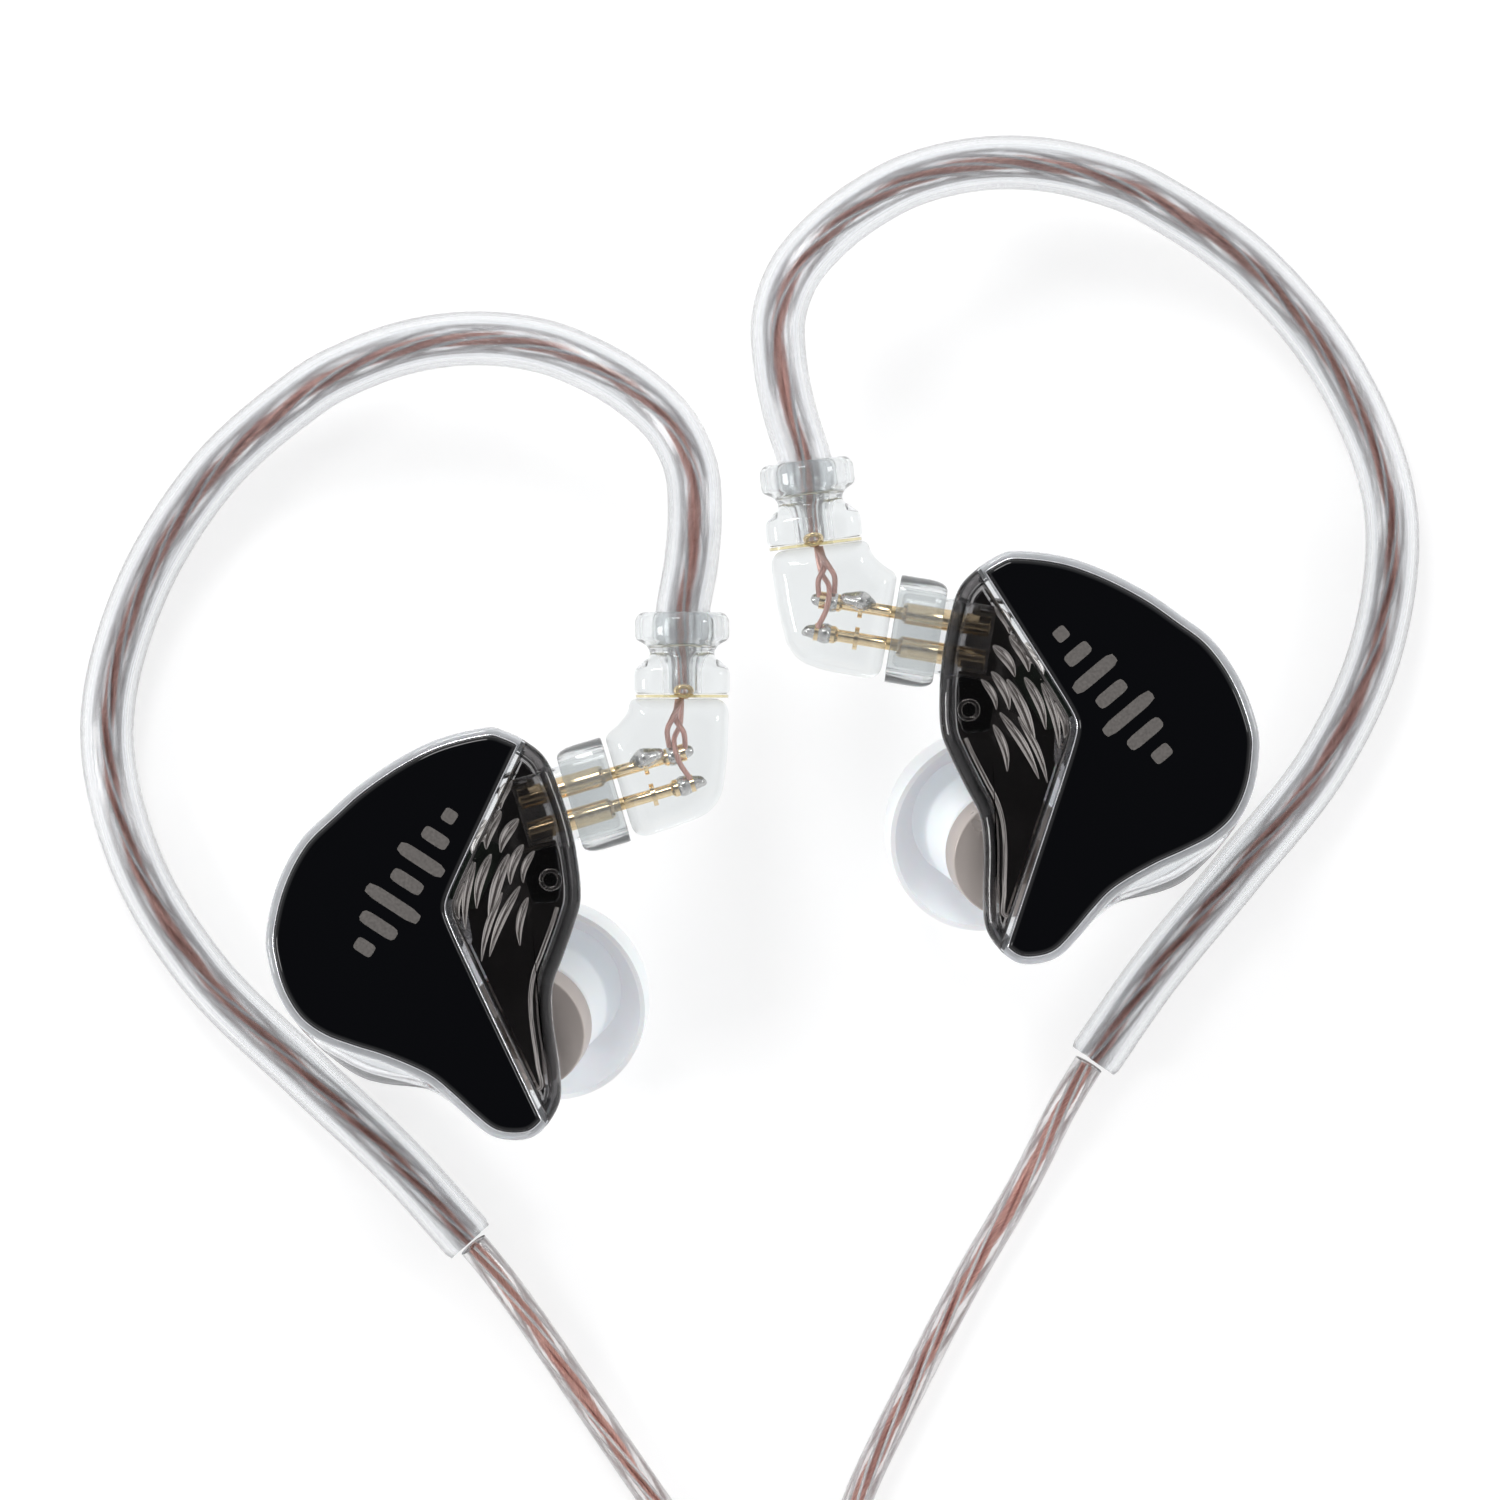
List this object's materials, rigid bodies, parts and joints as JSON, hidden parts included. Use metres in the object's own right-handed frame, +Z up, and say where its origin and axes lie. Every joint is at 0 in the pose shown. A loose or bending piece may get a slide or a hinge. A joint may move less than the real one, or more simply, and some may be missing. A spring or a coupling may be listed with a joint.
{
  "type": "in ear monitors",
  "caption": "Clear and gloss black in ear monitors with detachable over-ear cable, silicone tips, moulded ear hooks and a tied coil of lead ending in a stereo plug.",
  "frame": {"origin": "on the surface that the set lies on, under the middle of the two earpieces and their ear hooks", "axes": "+Z up out of the faceplates, +X from the left earpiece towards the right one, -Y the way the cable leaves"},
  "size_m": [0.0843, 0.1352, 0.0176],
  "materials": {
    "clear_shell": "clear moulded polycarbonate, polished",
    "smoky_cover": "dark smoky clear plastic, polished",
    "gloss_black": "piano black, high gloss",
    "nozzle_resin": "tinted resin tube",
    "steel": "fine steel",
    "silicone": "milky translucent silicone, satin",
    "driver_film": "thin film",
    "copper": "enamelled copper wire",
    "circuit_board": "solder mask",
    "gold": "gold plated contact",
    "clear_plug": "clear moulded plastic",
    "clear_sleeve": "clear flexible sleeve",
    "cable": "twisted silver and copper strands under clear insulation",
    "strap": "woven hook-and-loop strap"
  },
  "bodies": {
    "root": {"left_plug_hood": "clear_plug", "left_plug_body": "clear_plug", "left_pin_a": "gold", "left_pin_b": "gold", "left_strain_relief": "clear_plug", "left_ear_hook": "clear_sleeve", "left_hook_cable": "cable", "left_cable": "cable", "right_plug_hood": "clear_plug", "right_plug_body": "clear_plug", "right_pin_a": "gold", "right_pin_b": "gold", "right_strain_relief": "clear_plug", "right_ear_hook": "clear_sleeve", "right_hook_cable": "cable", "right_cable": "cable", "y_splitter": "clear_plug", "cable_coil": "cable", "cable_tie": "strap", "main_cable": "cable", "jack_body": "clear_plug", "jack_strain_relief": "clear_plug", "jack_sleeve": "gold", "jack_insulator_rear": "gloss_black", "jack_ring": "gold", "jack_insulator_front": "gloss_black", "jack_tip": "gold"},
    "left_earpiece": {"left_rear_shell": "clear_shell", "left_cover_shell": "smoky_cover", "left_faceplate": "gloss_black", "left_vent_ring": "smoky_cover", "left_nozzle": "nozzle_resin", "left_nozzle_screen": "steel", "left_driver_frame": "steel", "left_driver_diaphragm": "driver_film", "left_voice_coil": "copper", "left_driver_magnet": "steel", "left_crossover_board": "circuit_board", "left_socket_block": "clear_shell", "left_socket_a": "gold", "left_socket_b": "gold"},
    "left_eartip": {"left_eartip": "silicone"},
    "right_earpiece": {"right_rear_shell": "clear_shell", "right_cover_shell": "smoky_cover", "right_faceplate": "gloss_black", "right_vent_ring": "smoky_cover", "right_nozzle": "nozzle_resin", "right_nozzle_screen": "steel", "right_driver_frame": "steel", "right_driver_diaphragm": "driver_film", "right_voice_coil": "copper", "right_driver_magnet": "steel", "right_crossover_board": "circuit_board", "right_socket_block": "clear_shell", "right_socket_a": "gold", "right_socket_b": "gold"},
    "right_eartip": {"right_eartip": "silicone"}
  },
  "joints": [
    {"name": "left_plug_slide", "type": "slide", "parent": "root", "child": "left_earpiece", "axis": [-0.9588, -0.284, 0], "range_m": [0, 0.007]},
    {"name": "right_plug_slide", "type": "slide", "parent": "root", "child": "right_earpiece", "axis": [0.9866, -0.1633, 0], "range_m": [0, 0.007]},
    {"name": "left_eartip_slide", "type": "slide", "parent": "left_earpiece", "child": "left_eartip", "axis": [0.2306, 0.2952, -0.9272], "range_m": [0, 0.0055]},
    {"name": "right_eartip_slide", "type": "slide", "parent": "right_earpiece", "child": "right_eartip", "axis": [-0.2653, 0.2644, -0.9272], "range_m": [0, 0.0055]}
  ]
}
